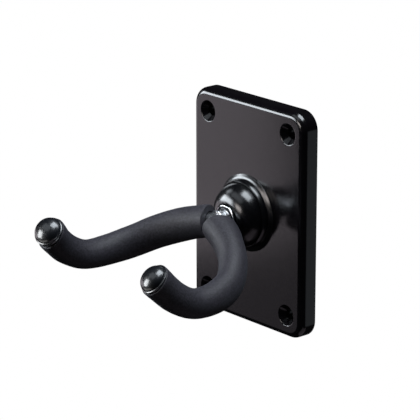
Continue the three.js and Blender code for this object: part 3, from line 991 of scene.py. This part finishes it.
def build_world():
    """White to the camera; a dim, soft studio to every other ray."""
    world = bpy.data.worlds.new("studio")
    world.use_nodes = True
    bpy.context.scene.world = world
    tree = world.node_tree
    tree.nodes.clear()
    output = tree.nodes.new("ShaderNodeOutputWorld")
    mix = tree.nodes.new("ShaderNodeMixShader")
    seen = tree.nodes.new("ShaderNodeLightPath").outputs["Is Camera Ray"]
    room = tree.nodes.new("ShaderNodeBackground")
    room.inputs["Color"].default_value = (0.75, 0.8, 0.9, 1)
    room.inputs["Strength"].default_value = 0.015
    backdrop = tree.nodes.new("ShaderNodeBackground")
    backdrop.inputs["Color"].default_value = (1, 1, 1, 1)
    tree.links.new(seen, mix.inputs["Fac"])
    tree.links.new(room.outputs[0], mix.inputs[1])
    tree.links.new(backdrop.outputs[0], mix.inputs[2])
    tree.links.new(mix.outputs[0], output.inputs["Surface"])


def build_floor():
    """Plain floor, well below the hanger: white to the camera and dim to every other ray."""
    signs = [(-1, -1), (1, -1), (1, 1), (-1, 1)]
    corners = [(x * FLOOR_HALF, y * FLOOR_HALF, -FLOOR_DROP) for x, y in signs]
    floor = add_mesh("floor", corners, [(0, 1, 2, 3)])
    material = bpy.data.materials.new("plain_floor")
    material.use_nodes = True
    tree = material.node_tree
    tree.nodes.clear()
    output = tree.nodes.new("ShaderNodeOutputMaterial")
    mix = tree.nodes.new("ShaderNodeMixShader")
    seen = tree.nodes.new("ShaderNodeLightPath").outputs["Is Camera Ray"]
    dim = tree.nodes.new("ShaderNodeBsdfDiffuse")
    dim.inputs["Color"].default_value = (0.08, 0.075, 0.075, 1)
    glow = tree.nodes.new("ShaderNodeEmission")
    tree.links.new(seen, mix.inputs["Fac"])
    tree.links.new(dim.outputs[0], mix.inputs[1])
    tree.links.new(glow.outputs[0], mix.inputs[2])
    tree.links.new(mix.outputs[0], output.inputs["Surface"])
    floor.data.materials.append(material)
    floor.visible_glossy = False


def build_camera():
    """Long lens, from the right of the hanger and a little above it. It aims beside the
    plate's centre, so that the arms have room in the picture."""
    azimuth, elevation, distance = 48, 17.4, 1135
    aim_left, aim_up = 17.35, 1.15
    back = compass(azimuth, elevation)
    turn = math.radians(azimuth)
    right = Vector((math.cos(turn), math.sin(turn), 0))
    up = back.cross(right)
    plate_front = Vector((0, -PLATE_T, 0))
    aim = plate_front - right * aim_left + up * aim_up
    camera = bpy.data.cameras.new("camera")
    camera.lens = 205.9
    camera.sensor_width = 36
    camera.clip_start, camera.clip_end = 0.05, 60
    holder = bpy.data.objects.new("camera", camera)
    holder.location = (plate_front + back * distance) * MM
    look = aim * MM - holder.location
    holder.rotation_euler = look.to_track_quat("-Z", "Y").to_euler()
    bpy.context.scene.collection.objects.link(holder)
    bpy.context.scene.camera = holder
    bpy.context.scene.view_settings.view_transform = "Standard"


def build_lights():
    """Key, overhead, rear light and a soft panel, and the cards that the black finishes mirror."""
    cool, neutral, warm = (0.86, 0.93, 1), (1, 0.98, 0.96), (1, 0.93, 0.9)
    caps = ("cap_left", "cap_right")
    area_light("key_softbox", (-50, 13), 0.55, (0.38, 0.2), 15, (0.88, 0.94, 1), without=caps)
    area_light("overhead", (100, 80), 0.7, (0.52, 0.44), 12, cool)
    area_light("rear_top", (142, 54), 0.7, (0.36, 0.26), 7, cool, without=("wall_plate",))
    area_light("sky_panel", (-20, 50), 0.7, (0.6, 0.3), 1.2, cool)
    area_light("front_card", (-5, 14), 0.8, (0.34, 0.2), 9, warm, card=True, without=caps)
    area_light("kicker", (-75, 36), 0.6, (0.18, 0.18), 3, cool, card=True, only=("boss_dome",))
    area_light("left_card", (-66, -11), 0.4, (0.28, 0.15), 1.25, (1, 0.9, 0.98), card=True)
    area_light("lower_card", (-52, -27), 0.4, (0.2, 0.14), 0.25, (1, 0.9, 1), card=True)
    area_light("back_card", (132, -17), 0.5, (0.4, 0.3), 0.3, cool, card=True)
    area_light("under_card", (137, -50), 0.5, (0.3, 0.22), 2, cool, card=True, only=caps)
    area_light("ground_card", (105, -66), 0.6, (0.6, 0.5), 0.3, (1, 0.86, 1), card=True)
    area_light("cap_card", (-30, 5), 0.5, (0.22, 0.32), 17, (0.95, 0.98, 1), card=True, only=caps)
    area_light("floor_card", (-18, -42), 0.5, (0.5, 0.2), 1.6, neutral, card=True, only=caps)


# ---------------------------------------------------------------- assembly

build_plate()
build_boss()
build_chrome_ring()
build_bush()
build_boss_screws()
build_rod()
build_stud()
build_weld()
build_sleeve(LEFT, "foam_left", "foam_sleeve_left")
build_sleeve(RIGHT, "foam_right", "foam_sleeve_right")
build_cap(LEFT, "cap_left", "end_cap_left")
build_cap(RIGHT, "cap_right", "end_cap_right")
dress_hidden_nodes()
build_world()
build_floor()
build_lights()
build_camera()
